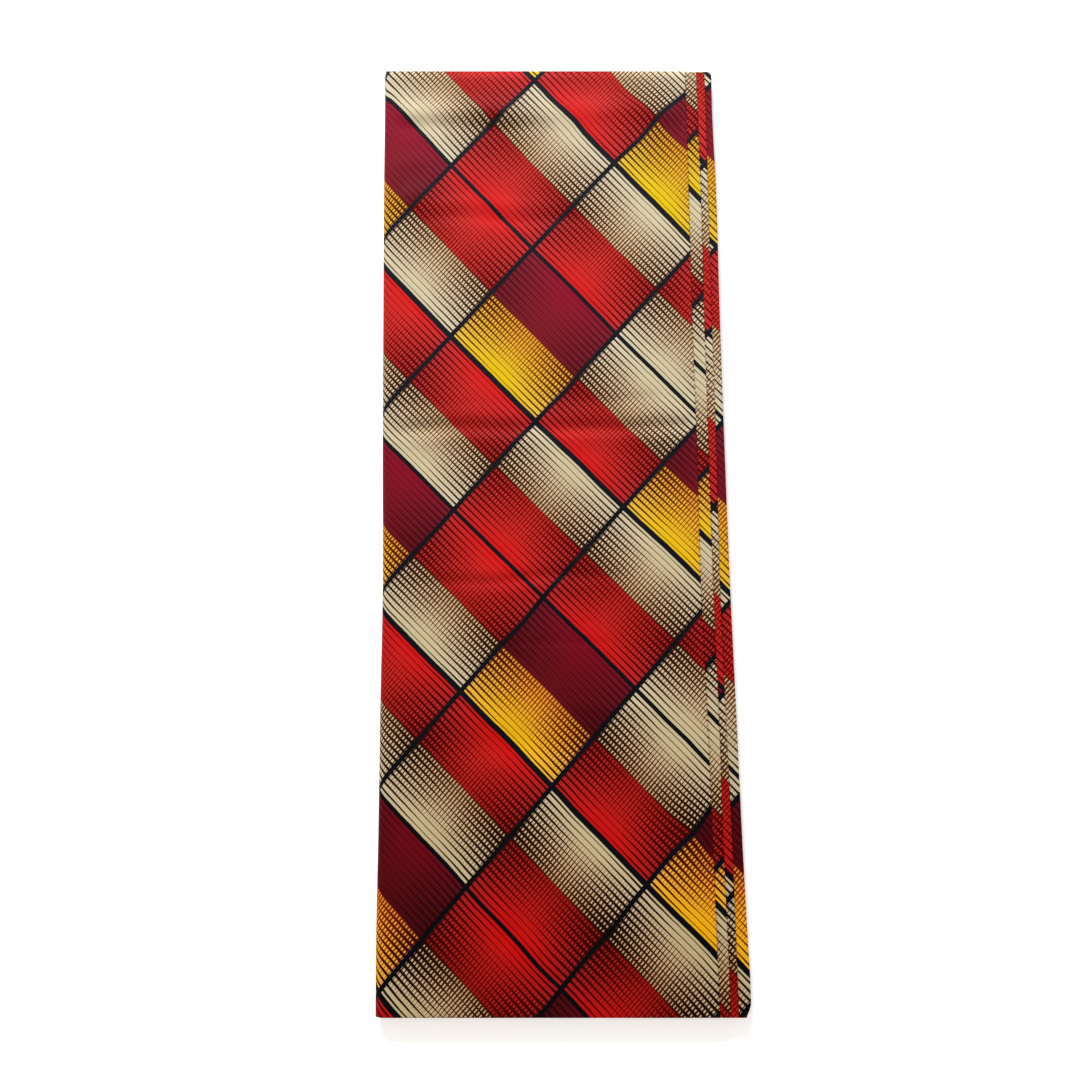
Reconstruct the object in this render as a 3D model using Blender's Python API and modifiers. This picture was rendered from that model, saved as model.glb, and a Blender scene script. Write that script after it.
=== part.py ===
"""A length of wax-printed cotton, folded into a flat bundle that lies on a surface.

The cloth is doubled across its width, lapped end over end in laps one yard long, and the whole
stack is then folded once, round its left side. Four laps show as edges that step out on the right.
Metres, +Z up, +Y along the bundle. The origin is at the middle of the underside.
"""

import math

import bpy
import numpy as np

# The cloth as sold
YARD = 0.9144
CLOTH_LENGTH = 6 * YARD
CLOTH_WIDTH = 1.20
LAP_COUNT = 6
LAP_LENGTH = CLOTH_LENGTH / LAP_COUNT
PANEL_WIDTH = CLOTH_WIDTH / 4

# The bundle
WALL = 0.0010  # one lap: the cloth doubled
GAP = 0.0003
PITCH = WALL + GAP
HEIGHT = 0.016
FOLD_STEPS = 10  # facets round the left fold
PANEL_STEPS = 9  # facets across a panel that swells
EDGE_ROUND = 0.00022  # how far a wall's edges are rounded off
EDGE_ANGLE = math.radians(60)
MM = 0.001
END = LAP_LENGTH / 2 / MM

# Plan of the bundle in millimetres, a row for each section down its length. Left is the fold's
# place, spare is how much wider than a quarter of the cloth the top panel lies, and the rest are
# the steps from each lap's right edge out to the next.
SECTION_COLUMNS = ("y", "left", "spare", "second", "third", "fourth")
SECTIONS = (
    (-END, -158.4, 1.8, 9.8, 7.4, 6.0),
    (9.0 - END, -158.5, 1.8, 9.8, 7.4, 9.1),
    (23.0 - END, -158.7, 1.8, 9.8, 7.5, 10.2),
    (-305.0, -160.0, 1.0, 9.7, 8.1, 8.4),
    (-190.0, -161.3, 0.3, 10.7, 6.6, 9.0),
    (-75.0, -162.6, -1.3, 11.6, 6.6, 8.4),
    (60.0, -164.2, -0.3, 11.3, 7.5, 7.8),
    (190.0, -166.2, 0.1, 12.0, 7.6, 7.4),
    (325.0, -168.7, 2.1, 12.3, 7.4, 7.6),
    (END - 12.0, -170.8, 3.5, 11.5, 8.5, 5.9),
    (END, -171.0, 3.6, 11.4, 8.6, 4.4),
)

# Each lap from the outermost in, millimetres: how far its lower edge lies inside the fourth lap's
# edge, and how far its front and back ends lie inside the bundle's. Laps that turn into each
# other at an end are even there: the first two and the next two in front, the middle two behind.
LAP_COLUMNS = ("name", "lower", "front", "back")
LAPS = (
    ("top", 3.0, 0.0, 0.0),
    ("second", 1.5, 0.0, 0.9),
    ("third", 4.0, 1.3, 0.9),
    ("fourth", 2.0, 1.3, 0.3),
)

# Soft mounds in the two upper laps, millimetres: middle, half sizes and rise
MOUND_COLUMNS = ("x", "y", "half_x", "half_y", "rise")
MOUNDS = (
    (-12.0, 0.0, 190.0, 560.0, 0.9),
    (20.0, 408.0, 75.0, 50.0, 0.8),
    (-110.0, 330.0, 70.0, 120.0, 0.5),
    (70.0, 122.0, 90.0, 44.0, 0.7),
    (40.0, 45.0, 110.0, 46.0, 0.5),
    (0.0, -97.0, 90.0, 34.0, 0.5),
    (-90.0, -240.0, 85.0, 150.0, 0.5),
    (70.0, -330.0, 80.0, 110.0, 0.4),
)
MOUND_SHARE = (1.0, 0.6, 0.0, 0.0)  # how much of a mound each lap keeps, from the top down
MOUND_ROWS = (-370.0, -250.0, 0.0, 145.0, 258.0, 370.0, 408.0)  # sections that the mounds need
SIDE_EASE = 0.040  # how far from the panel's sides the mounds die away
END_EASE = 0.045

# Pressed creases across the top, millimetres, and the share of the rise that they take away
CREASE_COLUMNS = ("y", "x", "half_length", "half_width", "depth")
CREASES = (
    (85.0, 100.0, 160.0, 13.0, 0.95),
    (-73.0, 0.0, 150.0, 16.0, 0.45),
    (-126.0, 8.0, 82.0, 12.0, 0.85),
)
CREASE_HOLD = 1.6  # how long a crease keeps its depth before it fades out
CREASE_SECTIONS = (-1.0, -0.4, 0.0, 0.4, 1.0)  # where a crease has its sections, in half widths
ROW_ROOM = 0.005  # least distance between two sections

# The two hidden laps: the four page edges from the bottom up, millimetres inside the fourth lap's
CORE_PAGES = {
    "right": (1.2, 2.6, 1.6, 3.0),
    "front": (0.8, 1.8, 1.0, 1.6),
    "back": (1.4, 0.8, 1.8, 1.0),
}
PAGE_GROOVE = 0.0008
PAGE_LEVELS = (0.0, 0.22, 0.78)  # heights within a page: its groove, and the two ends of its flat
CORE_END_STEPS = 8

COLOURS = {
    "top_lap": (0.60, 0.03, 0.03),
    "second_lap": (0.62, 0.50, 0.28),
    "third_lap": (0.45, 0.03, 0.03),
    "fourth_lap": (0.62, 0.36, 0.03),
    "inner_laps": (0.20, 0.02, 0.04),
}
ROUGHNESS = 0.62


def named_rows(columns, rows):
    """Give a table's rows as dictionaries, with lengths in metres."""
    ratios = ("name", "depth")
    return [
        {name: value if name in ratios else value * MM for name, value in zip(columns, row)}
        for row in rows
    ]


sections = named_rows(SECTION_COLUMNS, SECTIONS)
laps = named_rows(LAP_COLUMNS, LAPS)
mounds = named_rows(MOUND_COLUMNS, MOUNDS)
creases = named_rows(CREASE_COLUMNS, CREASES)


def column_at(column, y):
    """Give a value of the plan between its sections."""
    return float(np.interp(y, [row["y"] for row in sections], [row[column] for row in sections]))


def right_edge(name, y):
    """Give the x of a lap's right edge: the panel's width, and a step for each lap under it."""
    names = [lap["name"] for lap in laps]
    steps = names[1:names.index(name) + 1]
    panel_x = column_at("left", y) + PANEL_WIDTH + column_at("spare", y)
    return panel_x + sum(column_at(step, y) for step in steps)


def ease(t):
    """Rise smoothly from 0 to 1."""
    t = min(max(t, 0.0), 1.0)
    return t * t * (3.0 - 2.0 * t)


def swell(x, y):
    """Give how far the top lap rises over its flat height at a point of the plan."""
    rise = 0.0
    for mound in mounds:
        across = (x - mound["x"]) / mound["half_x"]
        along = (y - mound["y"]) / mound["half_y"]
        rise += mound["rise"] * ease(1.0 - math.hypot(across, along))
    for crease in creases:
        along = ease(CREASE_HOLD * (1.0 - abs(x - crease["x"]) / crease["half_length"]))
        across = max(0.0, 1.0 - abs(y - crease["y"]) / crease["half_width"])
        rise *= 1.0 - crease["depth"] * along * across
    side_room = min(x - column_at("left", y) - HEIGHT / 2, right_edge("top", y) - x)
    end_room = LAP_LENGTH / 2 - abs(y)
    return rise * ease(side_room / SIDE_EASE) * ease(end_room / END_EASE)


def lap_rows(lap, creased):
    """Give the y of each section of a lap, with more of them where it is creased."""
    wanted = [section["y"] for section in sections]
    if creased:
        for crease in creases:
            wanted += [crease["y"] + crease["half_width"] * step for step in CREASE_SECTIONS]
        wanted += [row * MM for row in MOUND_ROWS]
    rows = []
    for y in sorted(wanted):
        if not rows or y - rows[-1] > ROW_ROOM:
            rows.append(y)
    rows[0] += lap["front"]
    rows[-1] -= lap["back"]
    return rows


def lap_section(index, y, panel_steps):
    """Give a lap's outer face at y: along the underside, up round the fold, across the top."""
    radius = HEIGHT / 2 - index * PITCH
    fold_x = column_at("left", y) + HEIGHT / 2
    points = [(right_edge("fourth", y) - laps[index]["lower"], y, index * PITCH)]
    for step in range(FOLD_STEPS + 1):
        angle = math.pi * (1.5 - step / FOLD_STEPS)
        points.append((fold_x + radius * math.cos(angle), y, HEIGHT / 2 + radius * math.sin(angle)))
    top_z = HEIGHT - index * PITCH
    panel = right_edge("top", y) - fold_x
    for step in range(1, panel_steps + 1):
        x = fold_x + panel * step / panel_steps
        points.append((x, y, top_z + MOUND_SHARE[index] * swell(x, y)))
    if index:
        points.append((right_edge(laps[index]["name"], y), y, top_z))
    return points


def cloth_material(name):
    material = bpy.data.materials.new(name + "_cloth")
    material.use_nodes = True
    shader = material.node_tree.nodes["Principled BSDF"]
    shader.inputs["Base Color"].default_value = (*COLOURS[name], 1.0)
    shader.inputs["Roughness"].default_value = ROUGHNESS
    shader.inputs["Metallic"].default_value = 0.0
    material.diffuse_color = (*COLOURS[name], 1.0)
    return material


def finish_object(obj, name, collection):
    """Name an object, give it its material and move it to the bundle's collection."""
    obj.name = name
    obj.data.name = name
    obj.data.materials.clear()
    obj.data.materials.append(cloth_material(name))
    for other in list(obj.users_collection):
        other.objects.unlink(obj)
    collection.objects.link(obj)
    return obj


def make_lap(index, name, collection):
    """Make one lap: a grid bent to the lap's sections, with the thickness of doubled cloth."""
    creased = MOUND_SHARE[index] > 0
    panel_steps = PANEL_STEPS if creased else 1
    points = [lap_section(index, y, panel_steps) for y in lap_rows(laps[index], creased)]
    across, along = len(points[0]) - 1, len(points) - 1
    bpy.ops.mesh.primitive_grid_add(x_subdivisions=across, y_subdivisions=along)
    lap = bpy.context.object
    lap.data.vertices.foreach_set("co", np.array(points, dtype=np.float32).ravel())
    lap.data.update()
    wall = lap.modifiers.new("wall", "SOLIDIFY")
    wall.thickness = WALL
    wall.offset = -1.0
    wall.use_even_offset = True
    rounding = lap.modifiers.new("rounding", "BEVEL")
    rounding.width = EDGE_ROUND
    rounding.segments = 1
    rounding.limit_method = "ANGLE"
    rounding.angle_limit = EDGE_ANGLE
    return finish_object(lap, name, collection)


def core_ring(z, insets, fold_inset):
    """Give one closed outline of the hidden laps at the height z, counter-clockwise from above."""
    front_y = insets["front"] - LAP_LENGTH / 2
    back_y = LAP_LENGTH / 2 - insets["back"]
    rows = [min(max(section["y"], front_y), back_y) for section in sections]
    fold_in = len(laps) * PITCH + fold_inset
    right = [(right_edge("fourth", y) - insets["right"], y) for y in rows]
    left = [(column_at("left", y) + fold_in, y) for y in reversed(rows)]
    shares = [step / CORE_END_STEPS for step in range(1, CORE_END_STEPS)]
    back = [(right[-1][0] + (left[0][0] - right[-1][0]) * share, back_y) for share in shares]
    front = [(left[-1][0] + (right[0][0] - left[-1][0]) * share, front_y) for share in shares]
    return [(x, y, z) for x, y in right + back + left + front]


def core_levels():
    """Give the height and the insets of each outline of the hidden laps, from the bottom up."""
    bottom = len(laps) * PITCH
    height = HEIGHT - 2 * bottom
    page_count = len(CORE_PAGES["right"])
    levels = []
    for page in range(page_count):
        for share in PAGE_LEVELS:
            in_groove = share == 0.0
            pages = (max(page - 1, 0), page) if in_groove else (page,)
            groove = PAGE_GROOVE if in_groove else 0.0
            insets = {
                side: max(values[each] for each in pages) * MM + groove
                for side, values in CORE_PAGES.items()
            }
            levels.append((bottom + (page + share) * height / page_count, insets))
    top = {side: values[-1] * MM + PAGE_GROOVE for side, values in CORE_PAGES.items()}
    levels.append((bottom + height, top))
    return levels


def make_core(name, collection):
    """Loft the hidden laps through their outlines, as one solid layered at its edges."""
    radius = HEIGHT / 2 - len(laps) * PITCH
    rings = []
    for z, insets in core_levels():
        rise = z - HEIGHT / 2
        fold_inset = radius - math.sqrt(max(radius * radius - rise * rise, 0.0))
        rings.append(core_ring(z, insets, fold_inset))
    size = len(rings[0])
    vertices = [point for ring in rings for point in ring]
    faces = [tuple(reversed(range(size)))]
    for level in range(len(rings) - 1):
        for spot in range(size):
            after = (spot + 1) % size
            low, high = level * size, (level + 1) * size
            faces.append((low + spot, low + after, high + after, high + spot))
    last = (len(rings) - 1) * size
    faces.append(tuple(range(last, last + size)))
    mesh = bpy.data.meshes.new(name)
    mesh.from_pydata(vertices, [], faces)
    mesh.update()
    core = bpy.data.objects.new(name, mesh)
    bpy.context.scene.collection.objects.link(core)
    return finish_object(core, name, collection)


def main():
    for obj in list(bpy.data.objects):
        bpy.data.objects.remove(obj, do_unlink=True)
    bundle = bpy.data.collections.new("folded_ankara_fabric")
    bpy.context.scene.collection.children.link(bundle)
    for index, lap in enumerate(laps):
        make_lap(index, lap["name"] + "_lap", bundle)
    make_core("inner_laps", bundle)


main()
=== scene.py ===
import math

import bpy
import numpy as np
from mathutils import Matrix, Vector


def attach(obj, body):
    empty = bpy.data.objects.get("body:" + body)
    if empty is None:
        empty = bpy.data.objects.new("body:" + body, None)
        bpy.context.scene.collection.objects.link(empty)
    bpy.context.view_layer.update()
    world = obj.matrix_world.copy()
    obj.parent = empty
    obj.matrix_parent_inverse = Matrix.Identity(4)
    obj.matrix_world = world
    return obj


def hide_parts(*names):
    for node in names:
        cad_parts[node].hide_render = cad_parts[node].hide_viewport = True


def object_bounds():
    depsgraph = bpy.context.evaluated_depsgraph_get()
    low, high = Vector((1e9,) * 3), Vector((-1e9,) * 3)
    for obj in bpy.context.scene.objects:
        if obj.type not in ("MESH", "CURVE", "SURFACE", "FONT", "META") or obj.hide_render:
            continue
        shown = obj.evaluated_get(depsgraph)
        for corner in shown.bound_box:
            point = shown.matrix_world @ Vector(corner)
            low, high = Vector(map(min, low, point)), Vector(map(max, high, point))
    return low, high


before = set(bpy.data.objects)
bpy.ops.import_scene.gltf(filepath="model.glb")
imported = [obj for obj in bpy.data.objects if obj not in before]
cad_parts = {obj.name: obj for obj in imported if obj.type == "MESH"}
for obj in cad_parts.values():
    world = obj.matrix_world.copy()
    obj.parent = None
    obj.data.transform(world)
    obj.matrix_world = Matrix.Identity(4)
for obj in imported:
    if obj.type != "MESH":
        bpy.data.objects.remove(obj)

# A length of wax-printed cotton, folded flat: six laps of doubled cloth, one yard long each, laid
# end over end, and the stack folded once round its left side. +Y runs up the bundle, +Z is up.
# Metres. A table's lengths are in millimetres where its note says so.

mm = 0.001
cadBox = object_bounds()
print("frame:", len(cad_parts), "solids,", [round(float(v), 4) for v in cadBox[1] - cadBox[0]])

bundle = {
    "height": 16 * mm,               # flat height, without the soft swell of the top
    "halfLength": 457.2 * mm,
    "lapPitch": 1.3 * mm,            # outer face of one lap to the next
    "layerDepths": (0.22 * mm, 0.85 * mm),  # middle of a lap's two layers, under its outer face
    "clothThickness": 0.38 * mm,
    "rowStep": 5 * mm,
    "creaseRowStep": 2.5 * mm,       # rows near a pressed crease
    "turnSteps": 4,                  # rows round half an end turn
    "turnAngle": math.radians(88),   # each lap's half stops just short of the other's
    "edgeSteps": 6,                  # points round the doubled edge on the right
    "foldSteps": 16,
    "backLean": 0.6,                 # how far the back end leans out under the top, per depth
    "backLeanDepth": 8 * mm,
    "backLeanReach": 70 * mm,
    "foldDraw": 1.5,                 # mm that the print draws in where the cloth turns down on the left
    "foldDrawReach": 9 * mm,
    "slump": 0.05,                   # how much lower the stack lies at its right side
    "slumpReach": 60 * mm,
    "keepFlat": 40 * mm,             # the swell dies away this near the top's sides
    "keepFlatEnds": 45 * mm,
    # waves along a free edge: reach, how far each lap's is turned from the last lap's, share
    "liftWaves": ((37 * mm, 2.1, 0.3), (13 * mm, 1.0, 0.2)),
}

# Soft mounds of the top, mm: middle, half sizes, rise
moundColumns = ("x", "y", "halfX", "halfY", "rise")
mounds = (
    (-12, 0, 190, 560, 0.9),
    (-40, 415, 130, 34, 1.6),
    (70, 400, 60, 60, 0.9),
    (-110, 330, 70, 90, 0.9),
    (50, 250, 100, 70, 0.8),
    (70, 124, 100, 44, 1.0),
    (-95, 112, 80, 38, 0.7),
    (-20, 30, 140, 60, 0.8),
    (0, -62, 150, 34, 0.9),
    (-95, -160, 70, 60, 0.7),
    (75, -190, 80, 60, 0.8),
    (-80, -280, 85, 70, 0.9),
    (60, -350, 90, 70, 1.1),
    (-100, -400, 60, 50, 0.8),
)

# Pressed creases, mm: middle, half length, half width, depth (a ridge where it is under 0), the
# share of the depth that the cloth stands up beside it, degrees that it slants, and how far its
# path wanders
creaseColumns = ("x", "y", "halfLength", "halfWidth", "depth", "shoulder", "slant", "wander")
creases = (
    # the bulge behind the back end, and the soft waves that come down from it
    (-95, 411, 120, 12.0, -2.6, 0.0, -1.5, 2.0),
    (84, 413, 90, 12.0, -1.9, 0.0, -3.0, 1.5),
    (-84, 396, 110, 7.0, 0.9, 0.2, -1.0, 2.0),
    (-150, 356, 26, 6.5, -0.9, 0.0, 12.0, 1.0),
    (-146, 320, 34, 11.0, -1.6, 0.0, 8.0, 1.0),
    (-75, 312, 100, 8.0, -0.8, 0.0, 0.0, 1.5),
    (-50, 296, 120, 6.5, 0.9, 0.3, -1.0, 2.0),
    # the crease across the middle, where the laps were once folded
    (76, 81.5, 96, 5.6, 1.5, 0.8, 0.6, 1.0),
    (-96, 80.5, 84, 5.8, 1.5, 0.8, -0.6, 1.6),
    (-8, 81, 58, 6.0, 0.9, 0.5, 0.0, 1.0),
    (50, 110, 80, 5.0, 0.7, 0.3, 1.0, 1.5),
    # fainter ones toward the near end
    (-33, -66, 125, 5.2, 1.3, 0.5, 3.2, 2.0),
    (8, -126, 56, 3.0, 0.5, 0.35, -0.4, 0.6),
    (-140, -184, 40, 8.0, 0.8, 0.3, 5.0, 1.0),
    (55, -186, 50, 7.0, -0.9, 0.0, -4.0, 1.5),
    (-70, -220, 84, 13.0, 1.4, 0.4, 2.0, 2.0),
    (40, -237, 70, 8.0, -0.8, 0.0, -2.0, 1.5),
    (96, -300, 90, 8.0, 0.4, 0.35, 84.0, 3.0),
    (-140, -384, 36, 9.0, -0.9, 0.0, -10.0, 1.0),
    (-20, -406, 60, 14.0, -1.0, 0.0, -8.0, 2.0),
    (75, -428, 60, 6.0, 0.7, 0.3, 0.0, 1.5),
)

creaseForm = {
    "wanderReach": 17.0,       # mm
    "wanderTurn": 1.7,         # from one crease to the next, so that no two wander alike
    "endFade": 1.6,
    "shoulderPlace": 2.2,      # in half widths
    "shoulderWidth": 1.2,
}


def namedRows(columns, rows):
    return [dict(zip(columns, row)) for row in rows]


def ease(t):
    t = np.clip(t, 0.0, 1.0)
    return t * t * (3 - 2 * t)


def moundRise(x, y):
    # x and y are in metres, as arrays of one shape
    rise = np.zeros_like(x)
    for mound in namedRows(moundColumns, mounds):
        across = (x / mm - mound["x"]) / mound["halfX"]
        along = (y / mm - mound["y"]) / mound["halfY"]
        rise += mound["rise"] * mm * ease(1 - np.hypot(across, along))
    return rise


def creaseDrop(x, y):
    drop = np.zeros_like(x)
    for number, crease in enumerate(namedRows(creaseColumns, creases)):
        slant = math.radians(crease["slant"])
        dx = x / mm - crease["x"]
        dy = y / mm - crease["y"]
        along = dx * math.cos(slant) + dy * math.sin(slant)
        turn = along / creaseForm["wanderReach"] + number * creaseForm["wanderTurn"]
        wander = crease["wander"] * np.sin(turn)
        across = dy * math.cos(slant) - dx * math.sin(slant) - wander
        fade = ease(creaseForm["endFade"] * (1 - np.abs(along) / crease["halfLength"]))
        width = crease["halfWidth"]
        trough = np.exp(-(across / width) ** 2)
        besideIt = np.abs(across) - creaseForm["shoulderPlace"] * width
        shoulders = np.exp(-(besideIt / (creaseForm["shoulderWidth"] * width)) ** 2)
        drop += crease["depth"] * mm * fade * (trough - crease["shoulder"] * shoulders)
    return drop


# Plan of the bundle, mm: the fold on the left, and each lap's right edge on the top side
planColumns = ("y", "left", "top", "second", "third", "fourth")
plan = np.array((
    (-457.2, -159.8, 143.4, 153.2, 160.6, 167.1),
    (-448.2, -160.0, 143.3, 153.1, 160.5, 171.0),
    (-434.2, -160.3, 143.1, 152.9, 160.4, 171.6),
    (-391.0, -161.0, 142.4, 152.2, 159.9, 170.5),
    (-305.0, -161.2, 141.0, 150.7, 158.8, 168.3),
    (-190.0, -162.2, 139.0, 149.7, 156.3, 166.2),
    (-75.0, -162.6, 136.1, 147.7, 154.3, 164.0),
    (60.0, -165.8, 135.5, 146.8, 154.3, 162.5),
    (190.0, -168.4, 133.9, 145.9, 153.5, 161.6),
    (325.0, -170.9, 133.4, 145.7, 153.1, 161.5),
    (445.2, -172.7, 132.7, 144.2, 152.7, 160.0),
    (452.0, -172.9, 132.6, 144.1, 152.6, 160.2),
    (457.2, -173.0, 132.6, 144.0, 152.6, 159.4),
))


def planAt(name, y):
    # a smooth line through the plan's points
    places = plan[:, 0]
    values = plan[:, planColumns.index(name)]
    slopes = np.gradient(values, places)
    y = np.clip(y / mm, places[0], places[-1])
    spot = np.clip(np.searchsorted(places, y) - 1, 0, len(places) - 2)
    step = places[spot + 1] - places[spot]
    t = (y - places[spot]) / step
    start = values[spot] * (1 + 2 * t) * (1 - t) ** 2 + slopes[spot] * step * t * (1 - t) ** 2
    end = values[spot + 1] * t * t * (3 - 2 * t) - slopes[spot + 1] * step * t * t * (1 - t)
    return (start + end) * mm


def straightRows():
    # places down the bundle, closer together where a crease crosses it
    half = bundle["halfLength"] - 6 * mm
    rows = list(np.arange(-half, half, bundle["rowStep"]))
    for crease in namedRows(creaseColumns, creases):
        if abs(crease["slant"]) < 10 and crease["halfWidth"] < 9:
            reach = 2 * crease["halfWidth"] * mm
            rows += list(np.arange(crease["y"] * mm - reach, crease["y"] * mm + reach,
                                   bundle["creaseRowStep"]))
    kept = []
    for y in sorted(rows):
        if not kept or y - kept[-1] > 0.8 * bundle["creaseRowStep"]:
            kept.append(float(y))
    return kept


def turnReach():
    # how far the outer layer of an end turn stands out past the turn's axis
    outer, inner = bundle["layerDepths"]
    return (bundle["lapPitch"] + inner - outer) / 2 + bundle["clothThickness"] / 2


def lapRows(lap):
    # a row is its place, its angle round the end turn, which way the turn faces, the turn's depth
    outer, inner = bundle["layerDepths"]
    firstAxis = lap["index"] * bundle["lapPitch"] + (outer + bundle["lapPitch"] + inner) / 2
    rows = [(y, 0.0, 0, 0.0) for y in straightRows()]
    for way, inset, joins in ((-1, lap["frontInset"], lap["frontJoins"]),
                              (1, lap["backInset"], lap["backJoins"])):
        place = way * (bundle["halfLength"] - inset * mm)
        if joins:
            place -= way * turnReach()
        axis = firstAxis if joins == "next" else firstAxis - bundle["lapPitch"]
        steps = bundle["turnSteps"] if joins else 0
        extra = [(place, bundle["turnAngle"] * step / max(steps, 1), way, axis)
                 for step in range(steps + 1)]
        rows = extra[::-1] + rows if way < 0 else rows + extra
    return rows


def topPlaces(lap, foldX, edgeX):
    # across the top panel: even steps, and closer ones beside the right edge
    near = np.array(lap["edgeSpacing"]) * mm
    body = np.linspace(foldX, edgeX - near[0], lap["topColumns"] + 1)
    return np.concatenate([body[1:], edgeX - near[1:], [edgeX]])


def layerRun(lap, row, depth, lowerInset):
    # one layer of a lap at one row, from the underside's right edge to the top's
    place, angle, way, axis = row
    height = bundle["height"]
    bend = abs(axis - depth) if way else 0.0
    y = place + way * bend * math.sin(angle)
    layerDepth = axis - (axis - depth) * math.cos(angle) if way else depth
    foldX = planAt("left", place) + height / 2
    bulge = (bundle["layerDepths"][1] - bundle["layerDepths"][0] + bundle["clothThickness"]) / 2
    edgeX = planAt(lap["edge"], place) - lap["edgeInset"] * mm - bulge
    lowerX = planAt("fourth", place) - (lap["lowerInset"] + lowerInset) * mm
    radius = height / 2 - layerDepth
    roundAngle = np.linspace(0, math.pi, bundle["foldSteps"] + 1)
    under = np.linspace(lowerX, foldX, lap["underColumns"] + 1)
    top = topPlaces(lap, foldX, edgeX)
    x = np.concatenate([under[:-1], foldX - radius * np.sin(roundAngle), top])
    z = np.concatenate([
        np.full(len(under) - 1, layerDepth),
        height / 2 - radius * np.cos(roundAngle),
        np.full(len(top), height - layerDepth),
    ])
    # place on the flat cloth: the same as x on the top panel, and measured on round the fold
    girth = math.pi * (height / 2 - lap["index"] * bundle["lapPitch"])
    across = np.concatenate([
        2 * foldX - girth - under[:-1],
        foldX - girth * (1 - roundAngle / math.pi),
        top,
    ])
    along = np.full(len(x), place + way * angle * bend)
    return np.stack([x, np.full(len(x), y), z, across, along], 1)


def lapPoints(lap):
    # both layers of the lap, joined by the doubled edge on the right, as rows of points
    index = lap["index"]
    outer, inner = (index * bundle["lapPitch"] + depth for depth in bundle["layerDepths"])
    bulge = (inner - outer) / 2
    steps = np.linspace(0, math.pi, bundle["edgeSteps"] + 2)[1:-1, None]
    grid = []
    for row in lapRows(lap):
        outside = layerRun(lap, row, outer, 0.0)
        inside = layerRun(lap, row, inner, lap["innerSelvedge"])[::-1]
        inside[:, 3] = 2 * outside[-1, 3] - inside[:, 3]
        middle = (outside[-1] + inside[0]) / 2
        turn = middle + (outside[-1] - middle) * np.cos(steps)
        turn[:, 0] += bulge * np.sin(steps[:, 0])
        grid.append(np.concatenate([outside, turn, inside]))
    return np.array(grid)


def settle(lap, points):
    # let the flat lap swell, crease and slump
    x, y, z = points[..., 0], points[..., 1], points[..., 2]
    height = bundle["height"]
    leanShare = ease((y - bundle["halfLength"]) / bundle["backLeanReach"] + 1)
    lean = bundle["backLean"] * np.clip(height - z, 0, bundle["backLeanDepth"]) * leanShare
    topReach = height / 2 - (lap["index"] + 1) * bundle["lapPitch"]
    upper = ease(2 * (z - height / 2) / topReach - 1)
    sideRoom = np.minimum(x - planAt("left", y) - height / 2, planAt("top", y) - x)
    endRoom = bundle["halfLength"] - np.abs(y)
    keep = ease(endRoom / bundle["keepFlatEnds"])
    swell = moundRise(x, y) * lap["moundShare"] * ease(sideRoom / bundle["keepFlat"])
    pressed = creaseDrop(x, y) * lap["creaseShare"] * ease(sideRoom / (0.3 * bundle["keepFlat"]))
    z = z + upper * keep * (swell - pressed)
    # the free edge beside the next lap lifts a little, unevenly
    edgeRoom = planAt(lap["edge"], y) - x
    lift = ease(1 - edgeRoom / (lap["liftReach"] * mm)) * upper
    wave = 0.5
    for reach, turn, share in bundle["liftWaves"]:
        wave = wave + share * np.sin(y / reach + lap["index"] * turn)
    z = z + lap["edgeLift"] * mm * lift * wave
    slump = bundle["slump"] * ease((x - cadBox[1].x) / bundle["slumpReach"] + 1)
    points[..., 2] = z * (1 - slump)
    points[..., 1] += lean
    points[..., 4] += lean
    return points


photoView = {
    "lens": 43.8,
    "sensor": 36.0,
    "tilt": 11.5,                        # degrees from straight down
    "place": (-0.0146, -0.2753, 1.2288),
    "pixels": 1080,                      # the photo's width and height
}


def placeSeen(pixel, depth):
    # the place on the bundle that a pixel of the photo shows, at a depth under the flat top
    focal = photoView["pixels"] * photoView["lens"] / photoView["sensor"]
    right = (pixel[0] - photoView["pixels"] / 2) / focal
    up = (photoView["pixels"] / 2 - pixel[1]) / focal
    tilt = math.radians(photoView["tilt"])
    x, y, z = photoView["place"]
    ahead = up * math.cos(tilt) + math.sin(tilt)
    down = math.cos(tilt) - up * math.sin(tilt)
    reach = (z - bundle["height"] + depth) / down
    return x + right * reach, y + ahead * reach


def lieFromCrossings(lap):
    # each row of crossings has its middle on the print's own middle line, half a cell nearer than
    # the row before
    rows = []
    for number, row in enumerate(lap["crossings"]):
        x, y = placeSeen(np.mean(row, 0), lap["index"] * bundle["lapPitch"])
        own = (lap["firstCrossing"] - number) * waxPrint["halfAlong"]
        moveAlong = own - y - lap["printSkew"] * x
        rows.append((y / mm, -x / mm, moveAlong / mm))
    return rows


def lineShifts(lap, lines, way):
    # how far the print is moved past each line, in cells; way is 1 for lines that fall to the right
    shifts = []
    for number, *pixel in lines:
        x, y = placeSeen(pixel, lap["index"] * bundle["lapPitch"])
        own = y / (2 * waxPrint["halfAlong"]) + way * x / (2 * waxPrint["halfAcross"]) - 0.5
        shifts.append((y, number - own))
    return np.array(sorted(shifts))


def shiftAt(y, shifts):
    # straight from one reading to the next, and straight on past the last of them
    spot = int(np.clip(np.searchsorted(shifts[:, 0], y), 1, len(shifts) - 1))
    before, after = shifts[spot - 1], shifts[spot]
    share = (y - before[0]) / (after[0] - before[0])
    return before[1] + share * (after[1] - before[1])


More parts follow.
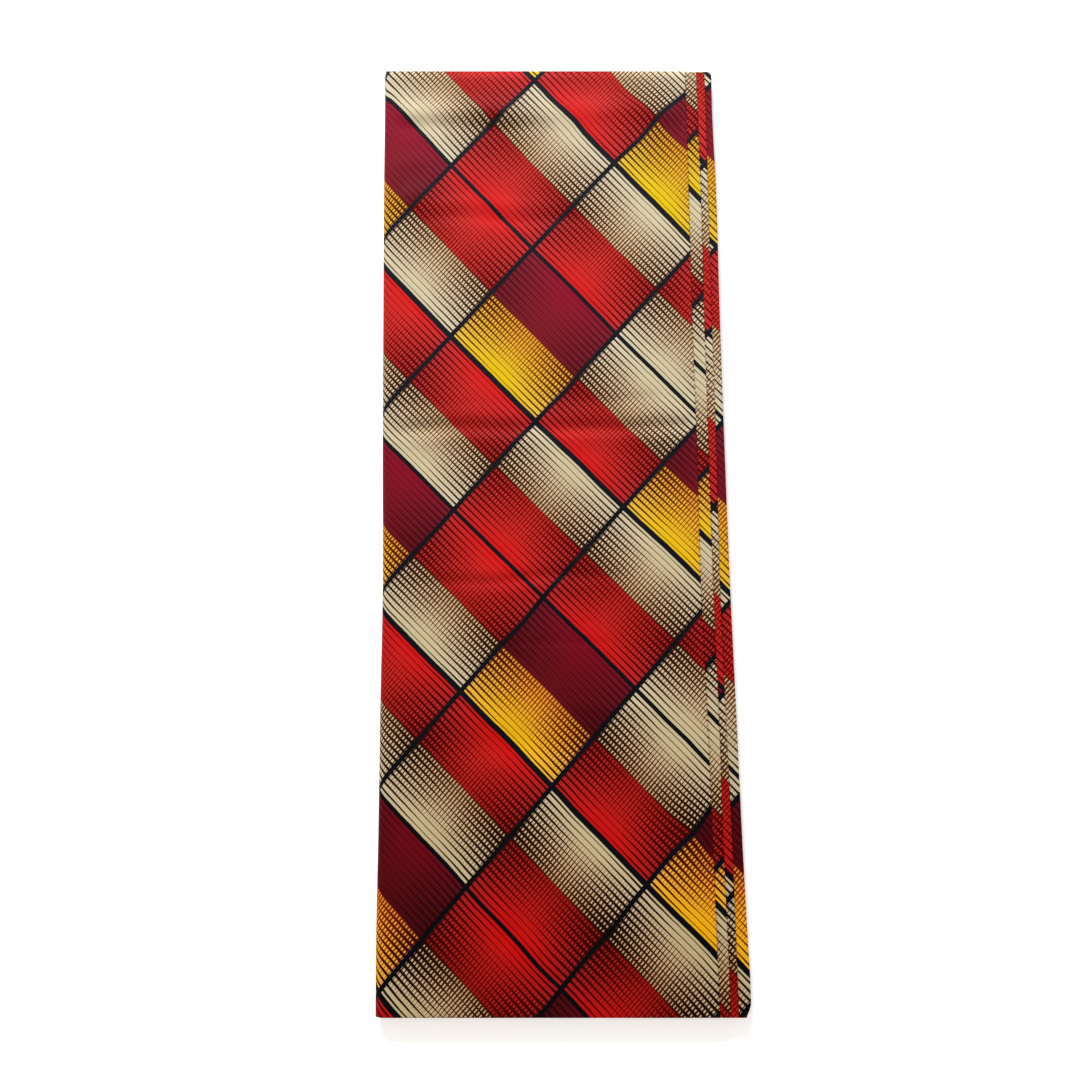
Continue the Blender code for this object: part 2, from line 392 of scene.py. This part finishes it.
def lieFromLines(lap):
    # a narrow strip shows few crossings, so its falling and rising lines are read one by one
    falling = lineShifts(lap, lap["fallingLines"], 1)
    rising = lineShifts(lap, lap["risingLines"], -1)
    rows = []
    for y in sorted([*falling[:, 0], *rising[:, 0]]):
        fall = shiftAt(y, falling)
        rise = shiftAt(y, rising)
        moveAcross = (fall - rise) * waxPrint["halfAcross"]
        moveAlong = (fall + rise) * waxPrint["halfAlong"]
        rows.append((y / mm, moveAcross / mm, moveAlong / mm))
    return rows


def printLie(lap):
    # rows down the lap, mm: place, and how far the print is moved across and along the cloth there
    if "crossings" in lap:
        return lieFromCrossings(lap)
    if "fallingLines" in lap:
        return lieFromLines(lap)
    return lap["hiddenLie"]


def printPlaces(lap, across, along):
    # where each point lies in the print: the print runs a little askew and uneven on the cloth
    lie = np.array(printLie(lap), dtype=float)
    order = np.argsort(lie[:, 0])
    y = along / mm
    moveAcross = np.interp(y, lie[order, 0], lie[order, 1])
    moveAlong = np.interp(y, lie[order, 0], lie[order, 2])
    moveAlong = moveAlong + lap["printSkew"] * across / mm
    for pull in namedRows(pullColumns, lap["printPulls"]):
        besideIt = (across / mm - pull["x"]) / pull["reachX"]
        downFromIt = (y - pull["y"]) / pull["reachY"]
        near = np.exp(-besideIt ** 2 - downFromIt ** 2)
        moveAcross = moveAcross + pull["across"] * near
        moveAlong = moveAlong + pull["along"] * near
    # the cloth turns down early at the left fold
    outermost = planAt("left", along) - (math.pi - 2) * bundle["height"] / 4
    inward = np.maximum(across - outermost, 0) / bundle["foldDrawReach"]
    moveAcross = moveAcross - bundle["foldDraw"] * np.exp(-inward ** 2)
    return across + moveAcross * mm, along + moveAlong * mm


def makeCloth(laps, name):
    # one mesh from the grid of each lap, thickened to the cloth
    vertices, faces, uvs = [], [], []
    for lap in laps:
        grid = settle(lap, lapPoints(lap))
        rows, columns = grid.shape[:2]
        first = sum(len(block) for block in vertices)
        vertices.append(grid[..., :3].reshape(-1, 3))
        number = first + np.arange(rows * columns).reshape(rows, columns)
        corners = [number[:-1, :-1], number[:-1, 1:], number[1:, 1:], number[1:, :-1]]
        faces.append(np.stack(corners, -1).reshape(-1, 4))
        uvs.append(np.stack(printPlaces(lap, grid[..., 3], grid[..., 4]), -1).reshape(-1, 2))
    vertices, faces, uvs = (np.concatenate(part) for part in (vertices, faces, uvs))
    mesh = bpy.data.meshes.new(name)
    mesh.from_pydata(vertices.tolist(), [], faces[:, ::-1].tolist())
    mesh.uv_layers.new(name="print")
    corner = np.zeros(len(mesh.loops), dtype=np.int32)
    mesh.loops.foreach_get("vertex_index", corner)
    mesh.uv_layers["print"].data.foreach_set("uv", uvs[corner].astype(np.float32).ravel())
    mesh.shade_smooth()
    mesh.update()
    cloth = bpy.data.objects.new(name, mesh)
    bpy.context.scene.collection.objects.link(cloth)
    thick = cloth.modifiers.new("clothThickness", "SOLIDIFY")
    thick.thickness = bundle["clothThickness"]
    thick.offset = 0.0
    cloth.data.materials.append(clothMaterial)
    return cloth


# The print: a bias check. Black lines part it into cells that stand on a corner. Each cell is two
# bars of colour, shaded by stripes along it and by finer stripes across it.

waxPrint = {
    "halfAcross": 80.5 * mm,      # half a cell, corner to corner
    "halfAlong": 86.6 * mm,
    "risingLine": 4.4 * mm,       # width of the black lines that rise to the right
    "fallingLines": (5.4 * mm, 4.1 * mm),  # and of the ones that fall, a thick and a thin by turns
    "boldLines": 22,              # stripes along the bars, in one cell
    "boldNearShadeGain": (0.96, 0.30),     # their width at the far end, and what it gains by the near one, as painted shade there
    "boldShares": (0.32, 0.55),   # share of their pitch at a cell's end: outside, and where bars meet
    "boldTaper": 0.6,             # under 1, they keep their width for longer
    "boldLeast": 0.13,
    "fineLines": 37,              # stripes across the bars
    # the fine stripes widen the same way, as painted shade at the near end
    "fineNearShadeGain": (0.94, 0.20),
    "fineShare": 0.64,
    "fineReach": (0.72, 0.88),    # how far out the fine stripes run: mid cell, and at its ends
    "fineTaper": 0.75,
    "wobble": 0.4 * mm,           # how unevenly the colours were pressed on
    "wobbleScales": (90.0, 61.0),
    "mottleScale": 14.0,          # soft patches where the dye took a little more or less
    "mottleDetail": 4.0,
    "mottleRange": 0.16,
    "mottleLeast": 0.92,
    "lineColour": (31, 32, 39),
    "nearEndShadeDepth": 1.48,            # how much darker the near end of the cloth is painted, as painted shade
    # upper bar of a cell and lower bar of it, along every other row and the rows between
    "upperBars": ("MRMC", "RRCC"),
    "lowerBars": ("YCYR", "CCRR"),
    # each colour beside the black line, where the bars meet, under fine and under bold stripes, at the
    # two ends of a cell, and the painted shade tinting it at the near end of the cloth (255 is no
    # change)
    "colours": {
        "R": ((203, 32, 34), (178, 64, 59), (140, 6, 4),
              (80, 5, 4), (150, 62, 66), (248, 280, 268)),
        "C": ((194, 186, 154), (204, 177, 148), (94, 60, 18),
              (50, 28, 12), (200, 190, 174), (255, 248, 244)),
        "M": ((138, 25, 48), (118, 38, 46), (114, 28, 39),
              (80, 13, 25), (92, 50, 58), (208, 216, 225)),
        "Y": ((210, 183, 12), (210, 165, 62), (146, 74, 2),
              (72, 28, 3), (202, 171, 82), (290, 258, 400)),
    },
    "endShare": 0.5,              # how far the colour turns to its end tone there
}


def paint(colour):
    # a colour as a screen shows it, as the linear one that a shader takes
    return tuple((part / 255) ** 2.2 for part in colour) + (1.0,)


def calc(tree, operation, *values):
    node = tree.nodes.new("ShaderNodeMath")
    node.operation = operation
    for socket, value in zip(node.inputs, values):
        if isinstance(value, (int, float)):
            socket.default_value = value
        else:
            tree.links.new(value, socket)
    return node.outputs[0]


def blendColours(tree, share, first, second):
    node = tree.nodes.new("ShaderNodeMix")
    node.data_type = "RGBA"
    for socket, value in ((node.inputs[0], share), (node.inputs[6], first), (node.inputs[7], second)):
        if isinstance(value, (int, float, tuple)):
            socket.default_value = value
        else:
            tree.links.new(value, socket)
    return node.outputs[2]


def noiseAt(tree, place, scale, detail=2.0):
    node = tree.nodes.new("ShaderNodeTexNoise")
    node.inputs["Scale"].default_value = scale
    node.inputs["Detail"].default_value = detail
    tree.links.new(place, node.inputs["Vector"])
    return node.outputs["Fac"]


def chartRamp(tree, spot, tone):
    # the colour of a bar by its spot in the repeat
    ramp = tree.nodes.new("ShaderNodeValToRGB")
    ramp.color_ramp.interpolation = "CONSTANT"
    letters = "".join(waxPrint["upperBars"] + waxPrint["lowerBars"])
    stops = ramp.color_ramp.elements
    while len(stops) < len(letters):
        stops.new(1.0)
    for number, letter in enumerate(letters):
        stops[number].position = number / len(letters)
        stops[number].color = paint(waxPrint["colours"][letter][tone])
    tree.links.new(spot, ramp.inputs["Fac"])
    return ramp.outputs["Color"]


def stripes(tree, place, count, share):
    # 1 on a stripe and 0 between, with a share of the pitch that may vary
    wave = calc(tree, "PINGPONG", calc(tree, "MULTIPLY", place, count), 0.5)
    return calc(tree, "LESS_THAN", wave, calc(tree, "MULTIPLY", share, 0.5))


def nearnessAt(tree, along):
    # 0 at the far end of the cloth and 1 at the near one
    span = tree.nodes.new("ShaderNodeMapRange")
    span.inputs["From Min"].default_value = bundle["halfLength"]
    span.inputs["From Max"].default_value = -bundle["halfLength"]
    tree.links.new(along, span.inputs["Value"])
    return span.outputs["Result"]


def nearShadeGainAt(tree, along, startAndGain):
    # a width at the far end of the cloth that grows toward the near one, painting shade there
    start, gain = startAndGain
    nearness = nearnessAt(tree, along)
    return calc(tree, "MULTIPLY_ADD", calc(tree, "MULTIPLY", nearness, nearness), gain, start)


def printColour(tree, across, along):
    halfAcross, halfAlong = waxPrint["halfAcross"], waxPrint["halfAlong"]
    u = calc(tree, "DIVIDE", across, 2 * halfAcross)
    v = calc(tree, "DIVIDE", along, 2 * halfAlong)
    rising = calc(tree, "SUBTRACT", calc(tree, "SUBTRACT", v, u), 0.5)
    falling = calc(tree, "SUBTRACT", calc(tree, "ADD", v, u), 0.5)
    lengthwise = calc(tree, "FRACT", rising)
    crosswise = calc(tree, "FRACT", falling)
    # which bar of the repeat this is
    row = calc(tree, "MULTIPLY", calc(tree, "FLOOR", falling), -1.0)
    column = calc(tree, "SUBTRACT", 2.0, calc(tree, "FLOOR", rising))
    step = calc(tree, "FLOORED_MODULO", calc(tree, "SUBTRACT", column, row), 4.0)
    odd = calc(tree, "FLOORED_MODULO", row, 2.0)
    lower = calc(tree, "LESS_THAN", crosswise, 0.5)
    spot = calc(tree, "MULTIPLY_ADD", odd, 4.0, step)
    spot = calc(tree, "MULTIPLY_ADD", lower, 8.0, spot)
    spot = calc(tree, "DIVIDE", calc(tree, "ADD", spot, 0.5), 16.0)
    # the bold stripes taper to the middle of a cell, and the fine ones to the falling black lines
    ends = calc(tree, "MULTIPLY", calc(tree, "PINGPONG", calc(tree, "ADD", lengthwise, 0.5), 0.5), 2.0)
    meeting = calc(tree, "MULTIPLY", calc(tree, "PINGPONG", crosswise, 0.5), 2.0)
    least, most = waxPrint["boldShares"]
    boldShare = calc(tree, "MULTIPLY_ADD", meeting, most - least, least)
    boldEnds = calc(tree, "POWER", ends, waxPrint["boldTaper"])
    boldShare = calc(tree, "MULTIPLY", boldShare, boldEnds)
    boldShare = calc(tree, "MAXIMUM", boldShare, waxPrint["boldLeast"])
    boldShare = calc(tree, "MULTIPLY", boldShare, nearShadeGainAt(tree, along, waxPrint["boldNearShadeGain"]))
    middle, end = waxPrint["fineReach"]
    reach = calc(tree, "MULTIPLY_ADD", ends, end - middle, middle)
    away = calc(tree, "DIVIDE", calc(tree, "SUBTRACT", 1.0, meeting), reach)
    near = calc(tree, "MAXIMUM", calc(tree, "SUBTRACT", 1.0, away), 0.0)
    near = calc(tree, "POWER", near, waxPrint["fineTaper"])
    fineShare = calc(tree, "MULTIPLY", near, waxPrint["fineShare"])
    fineShare = calc(tree, "MULTIPLY", fineShare, nearShadeGainAt(tree, along, waxPrint["fineNearShadeGain"]))
    bold = stripes(tree, crosswise, waxPrint["boldLines"], boldShare)
    fine = stripes(tree, lengthwise, waxPrint["fineLines"], fineShare)
    colour = blendColours(tree, meeting, chartRamp(tree, spot, 0), chartRamp(tree, spot, 1))
    endShare = calc(tree, "MULTIPLY", calc(tree, "MULTIPLY", ends, ends), waxPrint["endShare"])
    colour = blendColours(tree, endShare, colour, chartRamp(tree, spot, 4))
    # both kinds of stripe are brown in mid cell and nearly black at its ends
    fineColour = chartRamp(tree, spot, 2)
    boldColour = blendColours(tree, boldEnds, fineColour, chartRamp(tree, spot, 3))
    fineColour = blendColours(tree, calc(tree, "MULTIPLY", ends, 0.5), fineColour, boldColour)
    colour = blendColours(tree, fine, colour, fineColour)
    colour = blendColours(tree, bold, colour, boldColour)
    # the black lines, in both directions
    cellWidth = 2 * halfAcross * halfAlong / math.hypot(halfAcross, halfAlong)
    thick, thin = (width / cellWidth / 2 for width in waxPrint["fallingLines"])
    nearest = calc(tree, "FLOORED_MODULO", calc(tree, "ROUND", falling), 2.0)
    fallingHalf = calc(tree, "MULTIPLY_ADD", nearest, thin - thick, thick)
    fallingLine = calc(tree, "LESS_THAN", calc(tree, "PINGPONG", falling, 0.5), fallingHalf)
    risingHalf = waxPrint["risingLine"] / cellWidth / 2
    risingLine = calc(tree, "LESS_THAN", calc(tree, "PINGPONG", rising, 0.5), risingHalf)
    line = calc(tree, "MAXIMUM", fallingLine, risingLine)
    colour = blendColours(tree, line, colour, paint(waxPrint["lineColour"]))
    # painted shade darkens and tints the near end of the cloth
    return paintNearEndShade(tree, along, spot, colour)


def paintNearEndShade(tree, along, spot, colour):
    # painted shade: the colours are darkened and tinted down the length of the cloth, most at its near
    # end
    nearness = nearnessAt(tree, along)
    strength = calc(tree, "MULTIPLY", nearness, nearness)
    tone = blendColours(tree, strength, (1.0, 1.0, 1.0, 1.0), chartRamp(tree, spot, 5))
    deepen = tree.nodes.new("ShaderNodeGamma")
    tree.links.new(colour, deepen.inputs["Color"])
    depth = calc(tree, "MULTIPLY_ADD", strength, waxPrint["nearEndShadeDepth"] - 1, 1.0)
    tree.links.new(depth, deepen.inputs["Gamma"])
    tint = tree.nodes.new("ShaderNodeMix")
    tint.data_type = "RGBA"
    tint.blend_type = "MULTIPLY"
    tint.inputs[0].default_value = 1.0
    tree.links.new(deepen.outputs["Color"], tint.inputs[6])
    tree.links.new(tone, tint.inputs[7])
    return tint.outputs[2]


weave = {
    "threadPitch": 0.36 * mm,
    "bumpStrength": 0.25,
    "bumpHeight": 0.05 * mm,
    "roughness": 0.56,
    "specular": 0.03,
    "sheen": 0.01,
    "sheenRoughness": 0.35,
}


def weaveHeight(tree, across, along):
    turn = 2 * math.pi / (2 * weave["threadPitch"])
    overWarp = calc(tree, "SINE", calc(tree, "MULTIPLY", across, turn))
    overWeft = calc(tree, "SINE", calc(tree, "MULTIPLY", along, turn))
    return calc(tree, "ABSOLUTE", calc(tree, "MULTIPLY", overWarp, overWeft))


def makeClothMaterial():
    material = bpy.data.materials.new("waxPrintedCotton")
    material.use_nodes = True
    tree = material.node_tree
    shader = tree.nodes["Principled BSDF"]
    uv = tree.nodes.new("ShaderNodeUVMap")
    uv.uv_map = "print"
    apart = tree.nodes.new("ShaderNodeSeparateXYZ")
    tree.links.new(uv.outputs["UV"], apart.inputs[0])
    across, along = apart.outputs["X"], apart.outputs["Y"]
    # the print's edges wander by a fraction of a millimetre
    scaleAcross, scaleAlong = waxPrint["wobbleScales"]
    unevenAcross = calc(tree, "SUBTRACT", noiseAt(tree, uv.outputs["UV"], scaleAcross), 0.5)
    unevenAlong = calc(tree, "SUBTRACT", noiseAt(tree, uv.outputs["UV"], scaleAlong), 0.5)
    printedAcross = calc(tree, "MULTIPLY_ADD", unevenAcross, 2 * waxPrint["wobble"], across)
    printedAlong = calc(tree, "MULTIPLY_ADD", unevenAlong, 2 * waxPrint["wobble"], along)
    colour = printColour(tree, printedAcross, printedAlong)
    shade = tree.nodes.new("ShaderNodeHueSaturation")
    mottle = noiseAt(tree, uv.outputs["UV"], waxPrint["mottleScale"], waxPrint["mottleDetail"])
    value = calc(tree, "MULTIPLY_ADD", mottle, waxPrint["mottleRange"], waxPrint["mottleLeast"])
    tree.links.new(value, shade.inputs["Value"])
    tree.links.new(colour, shade.inputs["Color"])
    tree.links.new(shade.outputs["Color"], shader.inputs["Base Color"])
    bump = tree.nodes.new("ShaderNodeBump")
    bump.inputs["Strength"].default_value = weave["bumpStrength"]
    bump.inputs["Distance"].default_value = weave["bumpHeight"]
    tree.links.new(weaveHeight(tree, across, along), bump.inputs["Height"])
    tree.links.new(bump.outputs["Normal"], shader.inputs["Normal"])
    shader.inputs["Roughness"].default_value = weave["roughness"]
    shader.inputs["Specular IOR Level"].default_value = weave["specular"]
    shader.inputs["Sheen Weight"].default_value = weave["sheen"]
    shader.inputs["Sheen Roughness"].default_value = weave["sheenRoughness"]
    return material


clothMaterial = makeClothMaterial()
print("cloth material made")

# The laps, outermost first. Each is doubled cloth, and turns into the lap before or after it at an
# end, or ends raw there. The places of the print's black lines are the photo's pixels, read off
# enlargements of it. Crossings come in rows from the far end, and every other row shows two.
# A line's number grows toward the far end, and a half is where the two bars of a cell meet.
# A pull moves the print round one spot, mm: middle, reach across and along, and the move.

pullColumns = ("x", "y", "reachX", "reachY", "across", "along")

topLap = {
    "node": "top_lap",
    "edge": "top",
    "edgeInset": 0.0,
    "frontInset": 0.8,
    "backInset": 0.0,
    "lowerInset": 3.0,
    "index": 0,
    "frontJoins": "next",
    "backJoins": None,
    "topColumns": 60,
    "underColumns": 16,
    "edgeSpacing": (12, 8, 5, 2.5, 1),
    "innerSelvedge": 1.6,
    "moundShare": 1.0,
    "creaseShare": 1.0,
    "edgeLift": 0.30,
    "liftReach": 9.0,
    "crossings": (
        ((534.5, 80.5),),
        ((451, 166.5), (614.5, 163)),
        ((532, 249),),
        ((450, 336.5), (616.5, 334)),
        ((535.5, 422),),
        ((454, 510.5), (622.5, 506.5)),
        ((543, 597.5),),
        ((460, 692), (635, 689)),
        ((552, 786.5),),
        ((465.5, 887.5), (647.5, 885.5)),
        ((561, 988.5),),
    ),
    "firstCrossing": 5,              # half cells from the print's own start
    "printSkew": -0.016,             # the right one of two crossings lies a little farther
    "printPulls": (
        (56, 457, 20, 14, -2.5, -2.5),
        (142, 440, 34, 34, -4.0, 4.0),
        (-176, 431, 10, 16, 2.5, 3.5),
        (2, 428, 12, 10, 0.5, 0.5),
        (94, 414, 28, 26, -2.5, -2.5),
        (-155, 412, 22, 18, 0.5, 0.5),
        (18, 400, 14, 12, -1.0, -1.0),
        (83, 386, 20, 25, -2.0, 1.5),
        (135, 372, 24, 24, -2.0, -2.0),
        (-95, 370, 45, 45, 1.0, 0.0),
        (63, 350, 18, 18, -0.5, -0.5),
        (108, 300, 45, 85, -2.0, 0.0),
        (15, 221, 45, 45, -0.5, -0.5),
        (8, 121, 16, 16, -1.0, 1.0),
        (-41, 67, 25, 25, 0.5, -0.5),
        (20, 49, 20, 20, -0.5, -0.5),
        (-138, 44, 30, 30, -0.5, -0.5),
        (-116, -8, 22, 30, -1.0, 0.5),
        (110, -43, 35, 35, -1.0, -0.5),
        (-35, -103, 18, 18, -1.0, 1.0),
        (41, -135, 35, 35, -0.5, -0.5),
        (100, -150, 40, 50, -1.0, 0.0),
        (-90, -168, 25, 25, -0.5, -0.5),
        (120, -215, 18, 20, -0.5, -0.5),
        (-42, -217, 25, 22, -1.0, -0.5),
        (20, -282, 20, 20, 0.5, 0.5),
        (125, -295, 20, 22, -4.5, -0.5),
        (-100, -325, 28, 28, -0.5, -0.5),
        (-88, -350, 50, 50, 0.5, -0.5),
        (-66, -357, 24, 22, 0.5, 0.5),
        (48, -380, 18, 18, -1.0, 1.0),
        (130, -395, 28, 30, -1.0, -1.0),
        (-12, -414, 22, 22, 1.0, 1.0),
        (-10, -446, 20, 20, -1.0, 1.0),
        (-144, -450, 34, 30, 1.5, 1.5),
    ),
}

secondLap = {
    "node": "second_lap",
    "edge": "second",
    "edgeInset": 0.0,
    "frontInset": 0.8,
    "backInset": 0.9,
    "lowerInset": 1.5,
    "index": 1,
    "frontJoins": "previous",
    "backJoins": "next",
    "topColumns": 28,
    "underColumns": 14,
    "edgeSpacing": (24, 16, 11, 7, 4, 1.5),
    "innerSelvedge": -0.8,
    "moundShare": 0.8,
    "creaseShare": 0.9,
    "edgeLift": 0.22,
    "liftReach": 7.0,
    "fallingLines": (
        (2.5, 691.5, 106.5),
        (2, 695, 194),
        (1, 699.5, 367),
        (0, 705.5, 537.5),
        (-1, 713.5, 718),
        (-2, 722, 910),
        (-2.5, 724, 1007),
    ),
    "risingLines": (
        (1, 692.5, 136),
        (0, 698, 300),
        (-1, 703, 474),
        (-2, 711.5, 660.5),
        (-3, 719.5, 864),
    ),
    "printSkew": 0.0,
    "printPulls": (),
}

thirdLap = {
    "node": "third_lap",
    "edge": "third",
    "edgeInset": 0.0,
    "frontInset": 0.3,
    "backInset": 0.9,
    "lowerInset": 4.0,
    "index": 2,
    "frontJoins": "next",
    "backJoins": "previous",
    "topColumns": 28,
    "underColumns": 14,
    "edgeSpacing": (24, 16, 10, 6, 3, 1.2),
    "innerSelvedge": 1.1,
    "moundShare": 0.65,
    "creaseShare": 0.8,
    "edgeLift": 0.18,
    "liftReach": 6.0,
    "fallingLines": (
        (2.5, 701, 68),
        (2, 704.5, 164),
        (1, 708, 333),
        (0, 713.5, 507),
        (-1, 722, 687),
        (-2, 729.5, 875.5),
        (-2.5, 734, 973),
    ),
    "risingLines": (
        (1, 704.5, 164),
        (0, 708, 333),
        (-1, 713.5, 507),
        (-2, 722, 695),
        (-3, 730.5, 897),
    ),
    "printSkew": 0.0,
    "printPulls": (),
}

fourthLap = {
    "node": "fourth_lap",
    "edge": "fourth",
    "edgeInset": 0.0,
    "frontInset": 0.3,
    "backInset": 0.3,
    "lowerInset": 2.0,
    "index": 3,
    "frontJoins": "previous",
    "backJoins": "next",
    "topColumns": 28,
    "underColumns": 14,
    "edgeSpacing": (24, 16, 10, 6, 3, 1.2),
    "innerSelvedge": 0.7,
    "moundShare": 0.5,
    "creaseShare": 0.7,
    "edgeLift": 0.12,
    "liftReach": 6.0,
    "fallingLines": (
        (3, 708.5, 75),
        (2, 714, 244),
        (1, 718.5, 414),
        (0, 725, 588.5),
        (-1, 734.5, 772.5),
        (-2, 742, 966),
    ),
    "risingLines": (
        (1, 708.5, 87),
        (0, 714, 250),
        (-1, 719, 426),
        (-2, 726.5, 606),
        (-3, 736, 800),
        (-4, 744.5, 1013),
    ),
    "printSkew": 0.0,
    "printPulls": (),
}

# The last two laps lie hidden inside the fold, as one piece

fifthLap = {
    "node": "inner_laps",
    "edge": "fourth",
    "edgeInset": 3.0,
    "frontInset": 0.6,
    "backInset": 0.3,
    "lowerInset": 1.2,
    "index": 4,
    "frontJoins": "next",
    "backJoins": "previous",
    "topColumns": 12,
    "underColumns": 9,
    "edgeSpacing": (24, 12, 6, 2),
    "innerSelvedge": 0.8,
    "moundShare": 0.35,
    "creaseShare": 0.6,
    "edgeLift": 0.05,
    "liftReach": 5.0,
    "hiddenLie": ((450, -40.0, -12.0), (-450, -62.0, -3.0)),  # a guess: nothing of it shows above
    "printSkew": 0.0,
    "printPulls": (),
}

sixthLap = dict(fifthLap)
sixthLap.update({
    "edgeInset": 1.6,
    "backInset": 1.6,
    "lowerInset": 2.6,
    "index": 5,
    "frontJoins": "previous",
    "backJoins": None,
    "moundShare": 0.25,
    "creaseShare": 0.5,
    "hiddenLie": ((450, 22.0, -13.0), (-450, -4.0, -2.0)),
})


def makeLaps(laps, name):
    cloth = makeCloth(laps, name)
    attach(cloth, "root")
    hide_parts(laps[0]["node"])
    print(name, "made,", len(cloth.data.polygons), "faces")
    return cloth


makeLaps([topLap], "topLapCloth")
makeLaps([secondLap], "secondLapCloth")
makeLaps([thirdLap], "thirdLapCloth")
makeLaps([fourthLap], "fourthLapCloth")
makeLaps([fifthLap, sixthLap], "innerLapsCloth")


# Room, light and camera

room = {
    "floorHalf": 6.0,
    "floorTone": 0.97,
    "floorRoughness": 0.9,
    "floorSpecular": 0.1,
    "floorGlow": 0.30,
    "worldTone": (1.0, 1.0, 1.0),
    "worldStrength": 0.50,
    "keyPlace": (-0.9, 4.05, 2.33),
    "keyAim": (0.0, 0.0, 0.0),
    "keySize": 1.5,
    "keyPower": 284.0,
    "keyTone": (0.98, 0.99, 1.0),
    "warmPlace": (-0.2, -0.9, 1.3),
    "warmSize": 1.2,
    "warmPower": 5.5,
    "warmTone": (1.0, 0.86, 0.70),
}


def makeFloor():
    material = bpy.data.materials.new("paleFloor")
    material.use_nodes = True
    shader = material.node_tree.nodes["Principled BSDF"]
    tone = room["floorTone"]
    shader.inputs["Base Color"].default_value = (tone, tone, tone, 1.0)
    shader.inputs["Roughness"].default_value = room["floorRoughness"]
    shader.inputs["Specular IOR Level"].default_value = room["floorSpecular"]
    shader.inputs["Emission Color"].default_value = (1.0, 1.0, 1.0, 1.0)
    shader.inputs["Emission Strength"].default_value = room["floorGlow"]
    bpy.ops.mesh.primitive_plane_add(size=2 * room["floorHalf"], location=(0, 0, 0))
    floor = bpy.context.object
    floor.name = "studioFloor"
    floor.data.materials.append(material)


def makeLight(name, place, size, power, tone):
    lamp = bpy.data.lights.new(name, "AREA")
    lamp.size = size
    lamp.energy = power
    lamp.color = tone
    light = bpy.data.objects.new(name, lamp)
    light.location = place
    away = light.location - Vector(room["keyAim"])
    light.rotation_euler = away.to_track_quat("Z", "Y").to_euler()
    bpy.context.scene.collection.objects.link(light)


def makeWorld():
    world = bpy.data.worlds.new("softLight")
    world.use_nodes = True
    background = world.node_tree.nodes["Background"]
    background.inputs["Color"].default_value = (*room["worldTone"], 1.0)
    background.inputs["Strength"].default_value = room["worldStrength"]
    bpy.context.scene.world = world


def makeCamera():
    camera = bpy.data.objects.new("photoCamera", bpy.data.cameras.new("photoCamera"))
    camera.data.lens = photoView["lens"]
    camera.data.sensor_width = photoView["sensor"]
    camera.location = photoView["place"]
    camera.rotation_euler = (math.radians(photoView["tilt"]), 0, 0)
    bpy.context.scene.collection.objects.link(camera)
    bpy.context.scene.camera = camera


makeFloor()
makeLight("keyLight", room["keyPlace"], room["keySize"], room["keyPower"], room["keyTone"])
makeLight("warmLight", room["warmPlace"], room["warmSize"], room["warmPower"], room["warmTone"])
makeWorld()
makeCamera()
bpy.context.scene.view_settings.view_transform = "Standard"
print("room, light and camera made")
